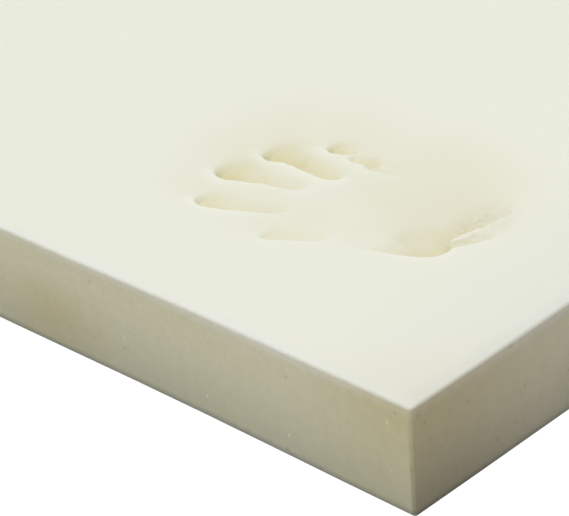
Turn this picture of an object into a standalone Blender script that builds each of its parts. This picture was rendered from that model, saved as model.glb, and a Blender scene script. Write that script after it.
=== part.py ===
"""A mattress topper: one slab of memory foam for a single bed, cut square, bare on all sides.

It lies on its flat underside. A right hand has been pressed in its top near one corner, and the
foam has not come back up yet.
"""

from collections import namedtuple
from math import cos, exp, log, radians, sin, tau

import bmesh
import bpy
from mathutils import Vector

# The slab, in metres: across the bed (X), along it (Y) and through the foam (Z).
WIDTH = 0.991
LENGTH = 1.905
THICKNESS = 0.0635

# How soft its cut edges are: the rim of the top, and the four upright corners.
EDGE_RADIUS = 0.0018
EDGE_STEPS = 3
SHARP_FROM = radians(50)

# The mesh: cells across and along the whole slab, halved on the top nearer and nearer to the
# print, each time within so many millimetres of it. The last cells are about 2.5 mm wide. A
# face of the top is one whose normal points at least this straight up.
CELLS_ACROSS = 12
CELLS_ALONG = 24
HALVED_WITHIN = (90, 56, 32, 16, 7)
FACES_UP = 0.99

# How far from true the foam lies: the swell of its top and the wander of its sides, each as a
# height and the length of one wave.
SWELL_ACROSS = 0.0012, 0.60
SWELL_ALONG = 0.0008, 0.50
WANDER = 0.0006, 0.33

# The print, in millimetres. A place in it is measured from the corner at +X, -Y: first along
# the long side, then along the end. A pad runs from its tip to its root, with a half width and a
# depth at each. Its wall is steep on one side, at an angle from the long side's own direction,
# and slack on the other, where its floor rises too. Where pads meet, they run together.
MM = 0.001
Pad = namedtuple("Pad", "tip root tip_half root_half tip_depth root_depth steep slack steep_at")
PADS = {
    "index_finger_tip": Pad((93.4, 228), (95.6, 217), 10, 9, 2.6, 1.6, 2.6, 12, 192),
    "index_finger": Pad((95.6, 214), (107.5, 192), 7.5, 6.5, 1.7, 0.8, 2.5, 10, 204),
    "middle_finger_tip": Pad((128, 239.5), (129.3, 228), 15, 12, 3.3, 1.8, 2.6, 16, 203),
    "middle_finger": Pad((126.2, 230), (133.4, 200), 8, 7, 1.6, 0.9, 2.5, 11, 198),
    "ring_finger_tip": Pad((157.2, 231.8), (157.2, 223), 14, 11, 3.3, 2.6, 2.6, 16, 203),
    "ring_finger": Pad((156.7, 222), (154, 193), 10, 9, 2.4, 2.4, 2.5, 14, 190),
    "little_finger_tip": Pad((179, 209.4), (180.4, 204), 8.5, 7.5, 3.0, 1.2, 2.4, 10, 200),
    "little_finger": Pad((176.8, 192.5), (177.6, 184.5), 7.5, 7, 1.4, 2.1, 2.5, 11, 192),
    "little_finger_root": Pad((173.6, 179.5), (176.5, 167), 6, 5, 1.1, 0.3, 2.5, 9, 198),
    "thumb": Pad((85.2, 174.4), (97, 153.5), 8, 7, 1.5, 0.6, 2.5, 11, 209),
    "thumb_root": Pad((104.6, 124.4), (120, 105), 5, 13, 0.4, 3.6, 2.5, 20, 207),
    "heel": Pad((126, 99.4), (131, 107), 15.5, 19, 4.0, 3.6, 2.5, 20, 237),
    "outer_heel": Pad((142, 104), (175, 90), 14, 7, 2.7, 0.7, 2.5, 20, 260),
    "wrist": Pad((134, 87), (151, 77.5), 4.5, 4, 2.2, 0.8, 2.5, 5, 240),
    "palm": Pad((152, 122), (168, 116), 36, 34, 1.0, 1.4, 24, 40, 245),
}
JOINED_BY = 6

# How a pad leans: how quickly its wall turns from slack to steep, and how its floor falls to its
# full depth, at the lean where that is reached. At 0 the place is abreast of the pad's axis, and
# at 1 on its steep side. The slack side reaches further out by a factor.
STEEP_ROUND = 1.6
LEVEL_FROM = 0.6
LEVEL_CURVE = 1.2
SLACK_REACH = 1.5

# Round the hand the foam is drawn down too: closely beside the steep rims, and in a wide bowl
# that starts a little inside the print, lies more beyond the fingers than before them, and is
# held up along the steep rims, over a distance and by a share. The first two are each a depth
# and how far out it reaches.
RIM_DRAWN_DOWN = 0.4, 6
BOWL = 1.8, 36
BOWL_START = -16
BOWL_SHIFT = 13, 13
CREASE_SOFTNESS = 3.0
HELD_UP = 8.0, 0.7

CREAM = 0.87, 0.86, 0.74, 1.0
FOAM_ROUGHNESS = 0.9


def smooth(share):
    """0 up to 0, 1 from 1 on, and an even curve between."""
    share = min(max(share, 0.0), 1.0)
    return share * share * (3 - 2 * share)


def press(pad, place):
    """What one pad does at a place: how deep it presses, how far it draws the foam beside it
    down, how far outside the pad the place is, and how much its rim holds the bowl up."""
    tip = Vector(pad.tip)
    run = Vector(pad.root) - tip
    along = min(max((place - tip).dot(run) / run.length_squared, 0.0), 1.0)
    out = place - tip - along * run
    steep_way = Vector((cos(radians(pad.steep_at)), sin(radians(pad.steep_at))))
    out += min(out.dot(steep_way), 0.0) * (1 / SLACK_REACH - 1) * steep_way
    half = pad.tip_half + along * (pad.root_half - pad.tip_half)
    depth = pad.tip_depth + along * (pad.root_depth - pad.tip_depth)
    lean = min(max(out.dot(steep_way) / half, -1.0), 1.0)
    steep_share = (1 + min(max(lean * STEEP_ROUND, -1.0), 1.0)) / 2
    wall = pad.slack + steep_share * (pad.steep - pad.slack)
    level = min((1 + lean) / (1 + LEVEL_FROM), 1.0) ** LEVEL_CURVE
    outside = out.length - half
    drawn, reach = RIM_DRAWN_DOWN
    beside = drawn * level * min(max(1 - outside / reach, 0.0), 1.0) ** 2
    sharp = smooth(lean / 0.7) * min(depth / 2, 1.0) * min(3 / pad.steep, 1.0)
    held = sharp * smooth((outside + 1) / 2) * exp(-((max(outside, 0.0) / HELD_UP[0]) ** 2))
    return depth * level * smooth(-outside / wall), beside, outside, held


def from_corner(x, y):
    """The place of a point in the print's own measure."""
    return Vector((y + LENGTH / 2, WIDTH / 2 - x)) / MM


def print_distance(place):
    """How far a place lies outside the nearest pad, with no crease between two pads."""
    outside = [press(pad, place)[2] for pad in PADS.values()]
    nearest = min(outside)
    rest = sum(exp((nearest - distance) / CREASE_SOFTNESS) for distance in outside)
    return nearest - CREASE_SOFTNESS * log(rest)


def print_depth(place):
    """How far the hand pushed the foam down at a place, with neighbouring pads run together."""
    deep, beside, _, held = zip(*(press(pad, place) for pad in PADS.values()))
    pressed = sum(depth**JOINED_BY for depth in deep) ** (1 / JOINED_BY)
    bowl, reach = BOWL
    out_share = (print_distance(place - Vector(BOWL_SHIFT)) - BOWL_START) / (reach - BOWL_START)
    held_up = HELD_UP[1] * max(held) * (1 - smooth(max(deep) / 0.8))
    return MM * (pressed + max(beside) + bowl * smooth(1 - out_share) * (1 - held_up))


def wave(size, distance):
    """A long wave, at its crest at the start."""
    height, length = size
    return height * cos(tau * distance / length)


def block():
    """The square-cut block, with its rim and its upright corners softened."""
    mesh = bmesh.new()
    bmesh.ops.create_cube(mesh, size=1.0)
    bmesh.ops.scale(mesh, vec=(WIDTH, LENGTH, THICKNESS), verts=mesh.verts)
    bmesh.ops.translate(mesh, vec=(0, 0, THICKNESS / 2), verts=mesh.verts)
    softened = [edge for edge in mesh.edges if any(vert.co.z > 0 for vert in edge.verts)]
    bmesh.ops.bevel(
        mesh, geom=softened, offset=EDGE_RADIUS, segments=EDGE_STEPS, affect="EDGES", profile=0.5
    )
    return mesh


def cut_cells(mesh):
    """Cuts the whole block across and along, so that it can follow its waves."""
    for axis, size, cells in ((0, WIDTH, CELLS_ACROSS), (1, LENGTH, CELLS_ALONG)):
        for cell in range(1, cells):
            place = Vector((0, 0, 0))
            place[axis] = size * (cell / cells - 0.5)
            normal = Vector((0, 0, 0))
            normal[axis] = 1
            geometry = mesh.verts[:] + mesh.edges[:] + mesh.faces[:]
            bmesh.ops.bisect_plane(mesh, geom=geometry, plane_co=place, plane_no=normal)


def halve_cells(mesh, reach):
    """Halves the cells of the top within reach of the print."""
    edges = set()
    for face in mesh.faces:
        centre = face.calc_center_median()
        on_top = face.normal.z > FACES_UP and centre.z > THICKNESS / 2
        if on_top and print_distance(from_corner(centre.x, centre.y)) < reach:
            edges.update(face.edges)
    bmesh.ops.subdivide_edges(mesh, edges=list(edges), cuts=1, use_grid_fill=True)


def shape_foam(mesh):
    """Moves the block's points: the top by its swell and the print, the sides by their wander."""
    for vert in mesh.verts:
        x, y, z = vert.co
        place = from_corner(x, y)
        along, across = place * MM
        lift = wave(SWELL_ACROSS, across) - wave(SWELL_ALONG, along) - print_depth(place)
        vert.co.z = z + lift * z / THICKNESS
        vert.co.x = x + wave(WANDER, along) * 2 * x / WIDTH
        vert.co.y = y + wave(WANDER, across) * 2 * y / LENGTH


def foam_material():
    material = bpy.data.materials.new("cream_foam")
    material.use_nodes = True
    shader = material.node_tree.nodes["Principled BSDF"]
    shader.inputs["Base Color"].default_value = CREAM
    shader.inputs["Roughness"].default_value = FOAM_ROUGHNESS
    shader.inputs["Metallic"].default_value = 0.0
    return material


def foam_slab():
    """The whole topper, one cut piece."""
    mesh = block()
    cut_cells(mesh)
    for reach in HALVED_WITHIN:
        halve_cells(mesh, reach)
    shape_foam(mesh)
    bmesh.ops.triangulate(mesh, faces=mesh.faces[:])
    data = bpy.data.meshes.new("foam_slab")
    mesh.to_mesh(data)
    mesh.free()
    data.materials.append(foam_material())
    data.shade_smooth()
    data.set_sharp_from_angle(angle=SHARP_FROM)
    slab = bpy.data.objects.new("foam_slab", data)
    bpy.context.scene.collection.objects.link(slab)
    shading = slab.modifiers.new("even_shading", "WEIGHTED_NORMAL")
    shading.keep_sharp = True


for old in list(bpy.data.objects):
    bpy.data.objects.remove(old)
foam_slab()
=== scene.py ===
import math
from collections import namedtuple

import bmesh
import bpy
import numpy as np
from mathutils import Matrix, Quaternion, Vector, noise


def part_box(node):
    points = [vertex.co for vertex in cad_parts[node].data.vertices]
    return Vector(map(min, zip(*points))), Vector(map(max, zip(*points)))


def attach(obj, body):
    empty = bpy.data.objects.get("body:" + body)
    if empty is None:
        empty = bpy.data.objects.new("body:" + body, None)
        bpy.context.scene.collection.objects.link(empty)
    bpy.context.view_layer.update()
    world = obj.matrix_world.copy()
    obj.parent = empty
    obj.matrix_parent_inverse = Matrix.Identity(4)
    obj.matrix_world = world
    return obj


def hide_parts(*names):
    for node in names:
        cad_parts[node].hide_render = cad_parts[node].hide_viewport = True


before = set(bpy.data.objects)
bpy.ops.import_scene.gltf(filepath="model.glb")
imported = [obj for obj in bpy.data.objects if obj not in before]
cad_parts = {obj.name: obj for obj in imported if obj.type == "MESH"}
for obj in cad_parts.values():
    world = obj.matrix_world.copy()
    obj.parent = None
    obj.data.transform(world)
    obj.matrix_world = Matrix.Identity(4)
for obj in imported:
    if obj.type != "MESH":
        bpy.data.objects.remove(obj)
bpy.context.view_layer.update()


# ---------------------------------------------------------------------------------------------
# The foam slab. A single-bed topper of memory foam, cut square from a block with a band knife
# and left bare. The knife leaves the top's rim and the upright corners just softened, and the
# slab lies a millimetre or two out of true.

# How far from true it lies: the swell of its top and the wander of its sides, each as a height
# and the length of one wave, in metres.
MM = 0.001
SWELL_ACROSS = 0.0012, 0.60
SWELL_ALONG = 0.0008, 0.50
WANDER = 0.0006, 0.33

low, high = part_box("foam_slab")
WIDTH = high.x - low.x - 2 * WANDER[0]
LENGTH = high.y - low.y - 2 * WANDER[0]
THICKNESS = high.z - SWELL_ACROSS[0] - SWELL_ALONG[0]

# Its cut edges. A point is on the rim from this share of the thickness up, and faces that meet
# at this angle or a larger one are shaded apart.
EDGE_RADIUS = 0.0018
EDGE_STEPS = 4
RIM_FROM = 0.99
SHARP_FROM = math.radians(75)

bpy.ops.object.select_all(action="DESELECT")
bpy.ops.mesh.primitive_cube_add(
    size=1, location=(0, 0, THICKNESS / 2), scale=(WIDTH, LENGTH, THICKNESS)
)
slab = bpy.context.object
slab.name = "memory_foam"
bpy.ops.object.transform_apply(location=True, rotation=True, scale=True)
bpy.ops.object.mode_set(mode="EDIT")


def select(kind, wanted):
    """Selects the slab's own edges or faces that pass a test, and nothing else."""
    mesh = bmesh.from_edit_mesh(slab.data)
    for part in (*mesh.faces, *mesh.edges, *mesh.verts):
        part.select = False
    bpy.context.tool_settings.mesh_select_mode = (False, kind == "edges", kind == "faces")
    for part in getattr(mesh, kind):
        if wanted(part):
            part.select_set(True)
    bmesh.update_edit_mesh(slab.data)


def upright(edge):
    return abs(edge.verts[0].co.z - edge.verts[1].co.z) > THICKNESS / 2


def on_rim(edge):
    return all(vert.co.z > THICKNESS * RIM_FROM for vert in edge.verts)


select("edges", lambda edge: upright(edge) or on_rim(edge))
bpy.ops.mesh.bevel(offset=EDGE_RADIUS, segments=EDGE_STEPS, profile=0.5)

CELLS_ACROSS = 20
CELLS_ALONG = 40
for axis, size, cells in ((0, WIDTH, CELLS_ACROSS), (1, LENGTH, CELLS_ALONG)):
    for cell in range(1, cells):
        cut_at = [0.0, 0.0, 0.0]
        cut_at[axis] = size * (cell / cells - 0.5)
        facing = [float(axis == 0), float(axis == 1), 0.0]
        bpy.ops.mesh.select_all(action="SELECT")
        bpy.ops.mesh.bisect(plane_co=cut_at, plane_no=facing)


# ---------------------------------------------------------------------------------------------
# The handprint. A right hand has been pressed in near the corner and lifted, and the foam is
# still coming back up: on one side of each finger its wall is still steep, and on the other it
# has already slackened.

# A place in the print is measured in millimetres from the corner: first along the long side,
# then along the end. A pad runs from its tip to its root, with a half width and a depth at each.
# Its wall is steep on one side, at an angle from the long side's own direction, and slack on the
# other, where its floor rises too. Where pads meet, they run together.
Pad = namedtuple("Pad", "tip root tip_half root_half tip_depth root_depth steep slack steep_at")
PADS = {
    "index_finger_tip": Pad((93.4, 228), (95.6, 217), 10, 9, 2.6, 1.6, 2.6, 12, 192),
    "index_finger": Pad((95.6, 214), (107.5, 192), 7.5, 6.5, 1.7, 0.8, 2.5, 10, 204),
    "middle_finger_tip": Pad((128, 239.5), (129.3, 228), 15, 12, 3.3, 1.8, 2.6, 16, 203),
    "middle_finger": Pad((126.2, 230), (133.4, 200), 8, 7, 1.6, 0.9, 2.5, 11, 198),
    "ring_finger_tip": Pad((157.2, 231.8), (157.2, 223), 14, 11, 3.3, 2.6, 2.6, 16, 203),
    "ring_finger": Pad((156.7, 222), (154, 193), 10, 9, 2.4, 2.4, 2.5, 14, 190),
    "little_finger_tip": Pad((179, 209.4), (180.4, 204), 8.5, 7.5, 3.0, 1.2, 2.4, 10, 200),
    "little_finger": Pad((176.8, 192.5), (177.6, 184.5), 7.5, 7, 1.4, 2.1, 2.5, 11, 192),
    "little_finger_root": Pad((173.6, 179.5), (176.5, 167), 6, 5, 1.1, 0.3, 2.5, 9, 198),
    "thumb": Pad((85.2, 174.4), (97, 153.5), 8, 7, 1.5, 0.6, 2.5, 11, 209),
    "thumb_root": Pad((104.6, 124.4), (120, 105), 5, 13, 0.4, 3.6, 2.5, 20, 207),
    "heel": Pad((126, 99.4), (131, 107), 15.5, 19, 4.0, 3.6, 2.5, 20, 237),
    "outer_heel": Pad((142, 104), (175, 90), 14, 7, 2.7, 0.7, 2.5, 20, 260),
    "wrist": Pad((134, 87), (151, 77.5), 4.5, 4, 2.2, 0.8, 2.5, 5, 240),
    "palm": Pad((152, 122), (168, 116), 36, 34, 1.0, 1.4, 24, 40, 245),
}
JOINED_BY = 6

# How a pad leans: how quickly its wall turns from slack to steep, and how its floor falls to its
# full depth, at the lean where that is reached. At 0 the place is abreast of the pad's axis, and
# at 1 on its steep side. The slack side reaches further out by a factor.
STEEP_ROUND = 1.6
LEVEL_FROM = 0.6
LEVEL_CURVE = 1.2
SLACK_REACH = 1.5

# Round the hand the foam is drawn down too: closely beside the steep rims, and in a wide bowl
# that starts a little inside the print and lies more beyond the fingers than before them. Each
# is a depth and how far out it reaches.
RIM_DRAWN_DOWN = 0.4, 6
BOWL = 1.8, 36
BOWL_START = -16
BOWL_SHIFT = 13, 13
CREASE_SOFTNESS = 3.0

# Above a steep wall there is a lip. It is full from this lean on, where the pad is at least so
# deep and its wall at most so wide, and it rises between so far inside the pad's outline and as
# far outside. Where the foam is pressed so deep, there is none. A painted highlight lies along
# it and fades over a distance, and it holds the bowl up, over a distance and by a share.
LIP_LEAN = 0.7
LIP_DEPTH = 2
LIP_WALL = 3
LIP_ROUND = 1
LIP_PRESSED = 0.8
LIP_HIGHLIGHT_OVER = 3.2
HELD_UP = 8.0, 0.7

# The skin was rubbed a little further out than the foam went down, and its deeper cream there is
# partly painted shade of the hollow. The fingers, the thumb and the wrist pinched it, from a
# little outside their outlines inwards, the deeper the harder, and that tint too is partly
# painted shade.
RUBBED_AND_SHADED_PAST = 1.4
PINCHED_AND_SHADED_PAST = 1.5
PINCHED_AND_SHADED_OVER = 6.0
PINCHED_AND_SHADED_LEAST = 0.7

# The outer edge of the hand came away last and left the skin crumbled: where, how far round and
# out to how many times that, how high and how coarse. Each layer of crumbs is finer than the one
# before by a factor, and lower by a power of it.
CRUMBLED_AT = 158, 90
CRUMBLED_OVER = 30, 17
CRUMBLED_TO = 1.3
CRUMB_HEIGHT = 1.0
CRUMB_SIZE = 4.0
CRUMB_LAYERS = 2
CRUMB_FINER = 2.0
CRUMB_LOWER = 0.6


def smooth(share):
    """0 up to 0, 1 from 1 on, and an even curve between."""
    share = np.clip(share, 0.0, 1.0)
    return share * share * (3 - 2 * share)


def from_corner(points):
    """The places of points in the print's own measure."""
    return np.stack([points[:, 1] + LENGTH / 2, WIDTH / 2 - points[:, 0]], axis=1) / MM


def press(pad, places):
    """What one pad does at each place: how deep it presses, how far it draws the foam beside it
    down, how far outside the pad the place is, how strong the painted highlight is on the lip
    above its steep wall, how much that lip holds the bowl up, and how hard it rubs the skin,
    which also sets the painted shade of its hollow."""
    tip = np.array(pad.tip, float)
    run = np.array(pad.root) - tip
    along = np.clip((places - tip) @ run / (run @ run), 0.0, 1.0)
    out = places - tip - along[:, None] * run
    angle = math.radians(pad.steep_at)
    steep_way = np.array((math.cos(angle), math.sin(angle)))
    toward = out @ steep_way
    out = out + np.outer(np.clip(toward, None, 0.0) * (1 / SLACK_REACH - 1), steep_way)
    half = pad.tip_half + along * (pad.root_half - pad.tip_half)
    depth = pad.tip_depth + along * (pad.root_depth - pad.tip_depth)
    lean = np.clip(out @ steep_way / half, -1.0, 1.0)
    steep_share = (1 + np.clip(lean * STEEP_ROUND, -1.0, 1.0)) / 2
    wall = pad.slack + steep_share * (pad.steep - pad.slack)
    level = np.clip((1 + lean) / (1 + LEVEL_FROM), 0.0, 1.0) ** LEVEL_CURVE
    outside = np.hypot(out[:, 0], out[:, 1]) - half
    drawn, reach = RIM_DRAWN_DOWN
    beside = drawn * level * np.clip(1 - outside / reach, 0.0, 1.0) ** 2
    lip = smooth(lean / LIP_LEAN) * np.clip(depth / LIP_DEPTH, 0.0, 1.0)
    lip = lip * min(LIP_WALL / pad.steep, 1.0) * smooth((outside / LIP_ROUND + 1) / 2)
    beyond = np.clip(outside, 0.0, None)
    lip_highlight = lip * np.exp(-beyond / LIP_HIGHLIGHT_OVER)
    held = lip * np.exp(-((beyond / HELD_UP[0]) ** 2))
    deep = depth * level * smooth(-outside / wall)
    rubbed_and_shaded = depth * level * smooth((RUBBED_AND_SHADED_PAST - outside) / wall)
    return deep, beside, outside, lip_highlight, held, rubbed_and_shaded


def print_distance(places):
    """How far each place lies outside the nearest pad, with no crease between two pads."""
    outside = np.array([press(pad, places)[2] for pad in PADS.values()])
    nearest = outside.min(axis=0)
    rest = np.exp((nearest - outside) / CREASE_SOFTNESS).sum(axis=0)
    return nearest - CREASE_SOFTNESS * np.log(rest)


def joined(depths):
    """The depths of all the pads run together into one."""
    return (depths**JOINED_BY).sum(axis=0) ** (1 / JOINED_BY)


def print_depth(places):
    """How far the hand squeezed the foam at each place, how far it drew the foam beside it down,
    how hard the skin is rubbed and pinched, both tints partly painted shade, and how strong the
    painted highlight on the lips is."""
    pads = np.array([press(pad, places) for pad in PADS.values()])
    deep, beside, outside, lip_highlight, held, rubbed_and_shaded = pads.swapaxes(0, 1)
    unpressed = 1 - smooth(deep.max(axis=0) / LIP_PRESSED)
    bowl, reach = BOWL
    out_share = (print_distance(places - BOWL_SHIFT) - BOWL_START) / (reach - BOWL_START)
    wide = bowl * smooth(1 - out_share) * (1 - HELD_UP[1] * unpressed * held.max(axis=0))
    skin = joined(rubbed_and_shaded)
    narrow = ["finger" in name or name in ("thumb", "wrist") for name in PADS]
    inside = PINCHED_AND_SHADED_PAST - outside[narrow].min(axis=0)
    pinched_and_shaded = smooth(inside / PINCHED_AND_SHADED_OVER) * (PINCHED_AND_SHADED_LEAST + skin)
    lip_highlight = unpressed * lip_highlight.max(axis=0)
    return joined(deep) + wide, beside.max(axis=0), skin + wide, pinched_and_shaded, lip_highlight


def crumbs(places):
    """How crumbled the skin is at each place, and the height of its crumbs."""
    away = (places - CRUMBLED_AT) / CRUMBLED_OVER
    share = smooth(CRUMBLED_TO - np.hypot(away[:, 0], away[:, 1]))
    height = np.zeros(len(places))
    for index in np.flatnonzero(share):
        spot = Vector((*places[index], 0)) / CRUMB_SIZE
        height[index] = noise.fractal(spot, CRUMB_LOWER, CRUMB_FINER, CRUMB_LAYERS)
    return share, CRUMB_HEIGHT * share**2 * height


# The cells of the top are halved nearer and nearer to the print, each time within so many
# millimetres of it, and the last are about 0.8 mm wide. A face of the top is one whose normal
# points at least this straight up.
HALVED_WITHIN = (90, 70, 40, 20, 10, 5)
FACES_UP = 0.99
for reach in HALVED_WITHIN:
    mesh = bmesh.from_edit_mesh(slab.data)
    mesh.faces.ensure_lookup_table()
    centres = np.array([face.calc_center_median() for face in mesh.faces])
    near = print_distance(from_corner(centres)) < reach
    chosen = {
        face.index
        for face in mesh.faces
        if near[face.index]
        and face.normal.z > FACES_UP
        and centres[face.index, 2] > THICKNESS / 2
    }
    select("faces", lambda face: face.index in chosen)
    bpy.ops.mesh.subdivide(number_cuts=1, ngon=True, quadcorner="INNERVERT")
bpy.ops.object.mode_set(mode="OBJECT")


def wave(size, distance):
    """A long wave, at its crest at the start."""
    height, length = size
    return height * np.cos(math.tau * distance / length)


points = np.empty(len(slab.data.vertices) * 3)
slab.data.vertices.foreach_get("co", points)
points = points.reshape(-1, 3)
places = from_corner(points)
along, across = (places * MM).T
squeezed, beside, rubbed_and_shaded, pinched_and_shaded, lip_highlight = print_depth(places)
crumbled, crumb_height = crumbs(places)
lift = wave(SWELL_ACROSS, across) - wave(SWELL_ALONG, along)
lift += MM * (crumb_height - squeezed - beside)
share_up = points[:, 2] / THICKNESS
points[:, 2] += lift * share_up
points[:, 0] += wave(WANDER, along) * 2 * points[:, 0] / WIDTH
points[:, 1] += wave(WANDER, across) * 2 * points[:, 1] / LENGTH
slab.data.vertices.foreach_set("co", points.ravel())
slab.data.update()

# What the material reads at each point, from 0 to about 1: what the hand did, with its painted
# shade and painted highlight, which fades out down the sides, and whether the point is on a cut
# side. The skin takes its full tint, partly painted shade, where it is rubbed or pinched so
# hard.
RUBBED_AND_SHADED_HARD = 4.6
PINCHED_AND_SHADED_HARD = 3.8
amounts = {
    "rubbed_and_shaded": rubbed_and_shaded * share_up / RUBBED_AND_SHADED_HARD,
    "pinched_and_shaded": pinched_and_shaded * share_up / PINCHED_AND_SHADED_HARD,
    "lip_highlight": lip_highlight * share_up,
    "crumbled": crumbled * share_up,
    "cut_side": np.clip((1 - share_up) * THICKNESS / EDGE_RADIUS, 0.0, 1.0),
}
for name, amount in amounts.items():
    layer = slab.data.attributes.new(name, "FLOAT", "POINT")
    layer.data.foreach_set("value", amount.astype(np.float32))

bpy.ops.object.select_all(action="DESELECT")
slab.select_set(True)
bpy.context.view_layer.objects.active = slab
bpy.ops.object.shade_smooth_by_angle(angle=SHARP_FROM)
shading = slab.modifiers.new("even_shading", "WEIGHTED_NORMAL")
shading.keep_sharp = True
bpy.ops.object.modifier_apply(modifier=shading.name)


# ---------------------------------------------------------------------------------------------
# The foam's surface. Polyurethane foam is cream, matt and fine pored, and its cells are open
# where the knife went through. Handling has worn it near the corner. Painted shade darkens the
# cut near the corner and towards the bottom, with a painted contact shadow along the floor.


class Amount:
    """What one socket of a material gives. Sums, products and powers of it add Math nodes."""

    def __init__(self, finish, socket):
        self.finish = finish
        self.socket = socket

    def combined(self, operation, first, second):
        return self.finish.node("Math", {"operation": operation}, {0: first, 1: second})

    def __add__(self, other):
        return self.combined("ADD", self, other)

    def __radd__(self, other):
        return self.combined("ADD", other, self)

    def __sub__(self, other):
        return self.combined("SUBTRACT", self, other)

    def __rsub__(self, other):
        return self.combined("SUBTRACT", other, self)

    def __mul__(self, other):
        return self.combined("MULTIPLY", self, other)

    def __pow__(self, other):
        return self.combined("POWER", self, other)

    def output(self, name):
        """Another socket of the node that this one belongs to."""
        return Amount(self.finish, self.socket.node.outputs[name])


class Finish:
    """A material and the nodes that make it."""

    # The sockets of a Mix node that blends colours: its share, the two colours and the result.
    MIX_SHARE, MIX_FIRST, MIX_SECOND, MIX_RESULT = 0, 6, 7, 2

    def __init__(self, name):
        self.material = bpy.data.materials.new(name)
        self.material.use_nodes = True
        self.tree = self.material.node_tree
        self.shader = self.tree.nodes["Principled BSDF"]

    def feed(self, node, sockets):
        for name, value in sockets.items():
            if isinstance(value, Amount):
                self.tree.links.new(value.socket, node.inputs[name])
            else:
                node.inputs[name].default_value = value

    def node(self, kind, settings, sockets, output=0):
        node = self.tree.nodes.new("ShaderNode" + kind)
        for name, value in settings.items():
            setattr(node, name, value)
        self.feed(node, sockets)
        return Amount(self, node.outputs[output])

    def blend(self, share, first, second, way="MIX"):
        """The first colour turned into the second, or multiplied by it, by a share."""
        settings = {"data_type": "RGBA", "blend_type": way}
        sockets = {self.MIX_SHARE: share, self.MIX_FIRST: first, self.MIX_SECOND: second}
        return self.node("Mix", settings, sockets, output=self.MIX_RESULT)

    def ramp(self, value, none, full):
        """0 where the value is at none, 1 where it is at full, and an even curve between."""
        settings = {"interpolation_type": "SMOOTHSTEP"}
        sockets = {"Value": value, "From Min": none, "From Max": full}
        return self.node("MapRange", settings, sockets)

    def attribute(self, name):
        return self.node("Attribute", {"attribute_name": name}, {}, output="Fac")


# The colours: a nearly even cream skin, a warmer cut side with open cells, what the hand and
# handling do to them, and painted light: painted highlights on the handprint's lips and the
# cut's rim, and painted shade in the handprint's hollows, on the cut near the corner and towards
# the bottom, with a painted contact shadow at the floor. The ones from the handprint's deeper
# cream on multiply the cream.
CREAM = 0.835, 0.845, 0.728, 1
CUT_CREAM = 0.86, 0.838, 0.675, 1
# Painted highlight on the handprint's lips.
LIP_HIGHLIGHT_CREAM = 0.91, 0.91, 0.80, 1
# Painted highlight along the top of the cut sides.
RIM_HIGHLIGHT_CREAM = 0.95, 0.97, 0.91, 1
COOL_CREAM = 0.79, 0.79, 0.80, 1
FLECK = 1.0, 0.98, 0.90, 1
# The handprint's deeper cream, partly painted shade in its hollows.
PRESSED_AND_SHADED = 0.87, 0.805, 0.645, 1
# The pinched tint, partly painted shade in the fingers' dents.
PINCHED_AND_SHADED = 0.96, 0.93, 0.80, 1
CRUMBLED = 0.94, 0.92, 0.885, 1
WORN = 0.89, 0.85, 0.70, 1
AGED = 0.93, 0.89, 0.77, 1
END_AGED = 0.98, 1.0, 0.955, 1
# Painted shade on the long side near the corner.
CORNER_SHADE = 0.70, 0.68, 0.66, 1
EDGE_GREYED = 0.89, 0.89, 0.95, 1
# Painted shade towards the bottom of the cut.
BOTTOM_SHADE = 0.795, 0.805, 0.825, 1
# Painted contact shadow where the cut meets the floor.
CONTACT_SHADOW = 0.60, 0.64, 0.70, 1
PORE = 0.84, 0.82, 0.79, 1

foam = Finish("cream_foam")
place = foam.node("TexCoord", {}, {}, output="Object")
x_place = foam.node("SeparateXYZ", {}, {"Vector": place}, output="X")
y_place, z_place = x_place.output("Y"), x_place.output("Z")
up = foam.ramp(z_place, 0.0, THICKNESS)
by_side = WIDTH / 2 - x_place
by_end = y_place + LENGTH / 2
on_cut = foam.attribute("cut_side")
cream = foam.blend(on_cut, CREAM, CUT_CREAM)

# What the hand left: a deeper cream, by a power of the rubbing, partly painted shade of the
# hollows; the pinched tint, partly painted shade too; and a painted highlight on the lip, by a
# share.
RUBBED_AND_SHADED_POWER = 1.3
LIP_HIGHLIGHT_SHARE = 0.8
crumbled_skin = foam.attribute("crumbled")
cream = foam.blend(foam.attribute("rubbed_and_shaded") ** RUBBED_AND_SHADED_POWER, cream, PRESSED_AND_SHADED, "MULTIPLY")
cream = foam.blend(foam.attribute("pinched_and_shaded"), cream, PINCHED_AND_SHADED, "MULTIPLY")
cream = foam.blend(crumbled_skin, cream, CRUMBLED, "MULTIPLY")
cream = foam.blend(foam.attribute("lip_highlight") * LIP_HIGHLIGHT_SHARE, cream, LIP_HIGHLIGHT_CREAM)

# Near the corner the skin is worn and the cut more so, most at its top. The wear and the painted
# corner shade below reach this far along the long side, in metres, and less far along the end by
# a factor.
CORNER_REACH = 0.125
CORNER_SHORTER = 1.3
WORN_SHARE = 0.3
WORN_ON_CUT = 0.65
near_corner = foam.ramp(by_side * CORNER_SHORTER + by_end, CORNER_REACH, 0.0)
worn = near_corner * (on_cut * up * WORN_ON_CUT + WORN_SHARE)
cream = foam.blend(worn, cream, WORN, "MULTIPLY")

# The end has aged, one patch of it most: its middle and its half size. Near the corner the long
# side takes painted shade, less at its top. A side ends between these distances from its plane.
SIDE_ENDS = 0.0025, 0.0008
CORNER_SHADE_LESS_UP = 0.7
AGED_AT = WIDTH / 2 - 0.262, -LENGTH / 2, 0.02
AGED_OVER = 0.06, 0.06, 0.035
cream = foam.blend(foam.ramp(by_end, *SIDE_ENDS) * on_cut, cream, END_AGED, "MULTIPLY")
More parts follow.
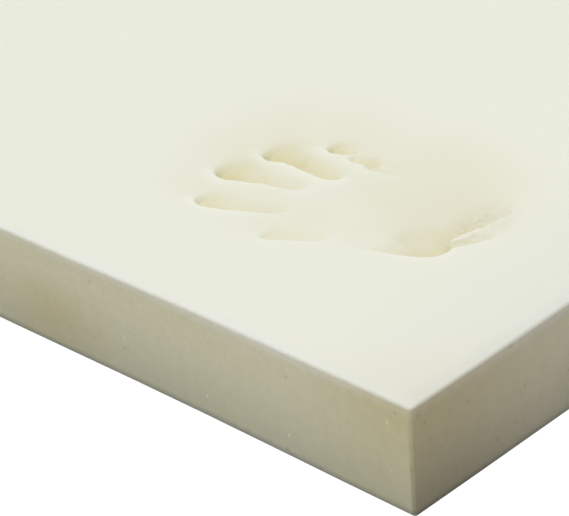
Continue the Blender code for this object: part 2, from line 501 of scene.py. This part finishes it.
# Painted shade: the long side is darker near the corner, more so lower down.
corner_shade = near_corner * foam.ramp(by_side, *SIDE_ENDS) * on_cut * (1 - up * CORNER_SHADE_LESS_UP)
cream = foam.blend(corner_shade, cream, CORNER_SHADE, "MULTIPLY")
from_patch = foam.node("VectorMath", {"operation": "SUBTRACT"}, {0: place, 1: AGED_AT})
from_patch = foam.node("VectorMath", {"operation": "DIVIDE"}, {0: from_patch, 1: AGED_OVER})
from_patch = foam.node("VectorMath", {"operation": "LENGTH"}, {0: from_patch}, output="Value")
cream = foam.blend(foam.ramp(from_patch, 1.0, 0.0) * on_cut, cream, AGED, "MULTIPLY")

# The top greys towards the long side, widely and again close to it, and cools by the end. Each
# is how far it reaches, in metres, and its share at the edge.
EDGE_GREYED_WIDELY = 0.10, 0.4
EDGE_GREYED_CLOSELY = 0.014, 0.5
COOLED = 0.011, 0.4


def nearby(distance, tint):
    """How strong a tint is on the top, at a distance from its edge."""
    reach, share = tint
    return foam.ramp(distance, reach, 0.0) * (1 - on_cut) * share


edge_greyed = nearby(by_side, EDGE_GREYED_WIDELY) + nearby(by_side, EDGE_GREYED_CLOSELY)
cream = foam.blend(edge_greyed, cream, EDGE_GREYED, "MULTIPLY")
cream = foam.blend(nearby(by_end, COOLED), cream, COOL_CREAM)

# The cut has painted shade, darker towards the bottom, a painted contact shadow at the floor,
# and a painted highlight along its rim, less at the corner. Each goes from none of it to all of
# it between two heights.
BOTTOM_SHADE_BETWEEN = THICKNESS * 0.85, -THICKNESS * 0.15
CONTACT_SHADOW_BETWEEN = 0.0045, -0.0005
RIM_HIGHLIGHT_BETWEEN = THICKNESS - 0.008, THICKNESS - 0.0015
RIM_HIGHLIGHT_SHARE = 0.75
RIM_HIGHLIGHT_LESS_AT_CORNER = 0.5
cream = foam.blend(foam.ramp(z_place, *BOTTOM_SHADE_BETWEEN) * on_cut, cream, BOTTOM_SHADE, "MULTIPLY")
cream = foam.blend(foam.ramp(z_place, *CONTACT_SHADOW_BETWEEN) * on_cut, cream, CONTACT_SHADOW, "MULTIPLY")
rim_highlight = foam.ramp(z_place, *RIM_HIGHLIGHT_BETWEEN) * on_cut
cream = foam.blend(rim_highlight * (RIM_HIGHLIGHT_SHARE - near_corner * RIM_HIGHLIGHT_LESS_AT_CORNER), cream, RIM_HIGHLIGHT_CREAM)

# The foam's own texture: grain, mottling and broad patches, each a size in metres and a detail,
# and how much they lighten and darken the skin, the cut and the crumbs. The cut also has pores
# and pale flecks: how far apart, of what radius, and the share of them that is there.
GRAIN = 0.0011, 2
MOTTLE = 0.007, 3
PATCHES = 0.11, 2
GRAIN_ON_SKIN = 0.03
MOTTLE_ON_SKIN = 0.01
PATCHES_ANYWHERE = 0.02
MORE_ON_CUT = 0.11
MORE_ON_CRUMBS = 0.15
PORES = 0.011, 0.0021, 0.34
FLECKS = 0.012, 0.0014, 0.22


def blotches(size, detail):
    """Soft random blotches of about one size, from 0 to 1."""
    sockets = {"Vector": place, "Scale": 1 / size, "Detail": detail}
    return foam.node("TexNoise", {}, sockets)


def dots(spacing, radius, kept):
    """Round dots on the cut, about so far apart before only a share of them is kept."""
    cells = foam.node("TexVoronoi", {}, {"Vector": place, "Scale": 1 / spacing})
    chance = foam.node("SeparateColor", {}, {"Color": cells.output("Color")})
    there = foam.node("Math", {"operation": "LESS_THAN"}, {0: chance, 1: kept})
    return foam.ramp(cells, radius / spacing, 0.0) * there * on_cut


grain, mottle, patches = blotches(*GRAIN), blotches(*MOTTLE), blotches(*PATCHES)
shade = 1 + (patches - 0.5) * PATCHES_ANYWHERE
shade = shade + (grain - 0.5) * (GRAIN_ON_SKIN + on_cut * MORE_ON_CUT)
mottled = MOTTLE_ON_SKIN + on_cut * MORE_ON_CUT + crumbled_skin * MORE_ON_CRUMBS
shade = shade + (mottle - 0.5) * mottled
cream = foam.blend(1.0, cream, shade, "MULTIPLY")
pores = dots(*PORES)
cream = foam.blend(pores, cream, PORE, "MULTIPLY")
cream = foam.blend(dots(*FLECKS), cream, FLECK)

# Its relief: open cells of one size in metres, fainter on the skin than on the cut, under the
# mottling and the pores.
CELL_SIZE = 0.0010
CELLS_ON_SKIN = 0.3
CELLS_MORE_ON_CUT = 0.7
RELIEF_STRENGTH = 0.35
RELIEF_DEPTH = 0.0003
ROUGHNESS = 0.9
cells = foam.node("TexVoronoi", {}, {"Vector": place, "Scale": 1 / CELL_SIZE})
relief = cells * (CELLS_ON_SKIN + on_cut * CELLS_MORE_ON_CUT) + mottle * on_cut - pores
sockets = {"Strength": RELIEF_STRENGTH, "Distance": RELIEF_DEPTH, "Height": relief}
bump = foam.node("Bump", {}, sockets)
foam.feed(foam.shader, {"Base Color": cream, "Normal": bump, "Roughness": ROUGHNESS})
slab.data.materials.append(foam.material)

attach(slab, "root")
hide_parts("foam_slab")


# ---------------------------------------------------------------------------------------------
# The studio: a pale floor, one broad soft light overhead with weaker ones round it, and a camera
# two steps away with a long lens, a little out of level.

# The floor throws a warm light back on the foam, while the camera sees most of it glow white.
FLOOR_SIZE = 80
FLOOR_BOUNCE = 0.52, 0.47, 0.40, 1
FLOOR_GLOW = 0.9
GLOW_STRENGTH = 1.2

bpy.ops.object.select_all(action="DESELECT")
bpy.ops.mesh.primitive_plane_add(size=FLOOR_SIZE)
floor = bpy.context.object
floor.name = "pale_floor"
backdrop = Finish("pale_floor")
backdrop.feed(backdrop.shader, {"Base Color": FLOOR_BOUNCE, "Specular IOR Level": 0.0})
seen = backdrop.node("LightPath", {}, {}, output="Is Camera Ray")
glow = backdrop.node("Emission", {}, {"Strength": GLOW_STRENGTH})
matt = Amount(backdrop, backdrop.shader.outputs[0])
lit = backdrop.node("MixShader", {}, {0: seen * FLOOR_GLOW, 1: matt, 2: glow})
backdrop.feed(backdrop.tree.nodes["Material Output"], {"Surface": lit})
floor.data.materials.append(backdrop.material)

# The camera aims at a point of the top, measured from the corner in metres. It looks along a
# direction in degrees, from a distance, rolled to one side, and its focal length is given in
# pixels of a picture so many pixels wide.
AIM_ALONG, AIM_ACROSS = 0.0681, 0.1489
AZIMUTH, ELEVATION, ROLL = 45.45, 30.40, -4.07
DISTANCE = 1.6436
FOCAL_PIXELS = 3098.9
IMAGE_WIDTH = 569
SENSOR_WIDTH = 36
SEEN_TO = 100


def direction(azimuth, elevation):
    """The way round from the long side's own direction, and up."""
    turn, rise = math.radians(azimuth), math.radians(elevation)
    return Vector(
        (-math.sin(turn) * math.cos(rise), math.cos(turn) * math.cos(rise), math.sin(rise))
    )


aim = Vector((WIDTH / 2 - AIM_ACROSS, AIM_ALONG - LENGTH / 2, THICKNESS))
look = direction(AZIMUTH, -ELEVATION)
roll = Quaternion((0, 0, 1), math.radians(ROLL))
camera_data = bpy.data.cameras.new("camera")
camera_data.sensor_width = SENSOR_WIDTH
camera_data.lens = FOCAL_PIXELS * SENSOR_WIDTH / IMAGE_WIDTH
camera_data.clip_end = SEEN_TO
camera = bpy.data.objects.new("camera", camera_data)
bpy.context.scene.collection.objects.link(camera)
camera.location = aim - look * DISTANCE
camera.rotation_mode = "QUATERNION"
camera.rotation_quaternion = look.to_track_quat("-Z", "Y") @ roll
bpy.context.scene.camera = camera

world = bpy.data.worlds.new("studio")
world.use_nodes = True
world.node_tree.nodes["Background"].inputs["Strength"].default_value = 0.0
bpy.context.scene.world = world

# Each light is a broad soft one far off: its strength, how wide it looks, the way to it round
# from the long side's direction, and how high it stands, all three in degrees.
Light = namedtuple("Light", "strength width azimuth elevation")
LIGHTS = {
    "overhead": Light(2.38, 90, 0, 90),
    "behind": Light(0.60, 60, 45, 45),
    "left_fill": Light(0.67, 60, 180, 20),
    "right_fill": Light(0.17, 60, 0, 20),
}
for name, setting in LIGHTS.items():
    light_data = bpy.data.lights.new(name, "SUN")
    light_data.energy = setting.strength
    light_data.angle = math.radians(setting.width)
    light = bpy.data.objects.new(name, light_data)
    bpy.context.scene.collection.objects.link(light)
    to_light = direction(setting.azimuth, setting.elevation)
    light.rotation_euler = to_light.to_track_quat("Z", "Y").to_euler()

bpy.context.scene.view_settings.view_transform = "Standard"
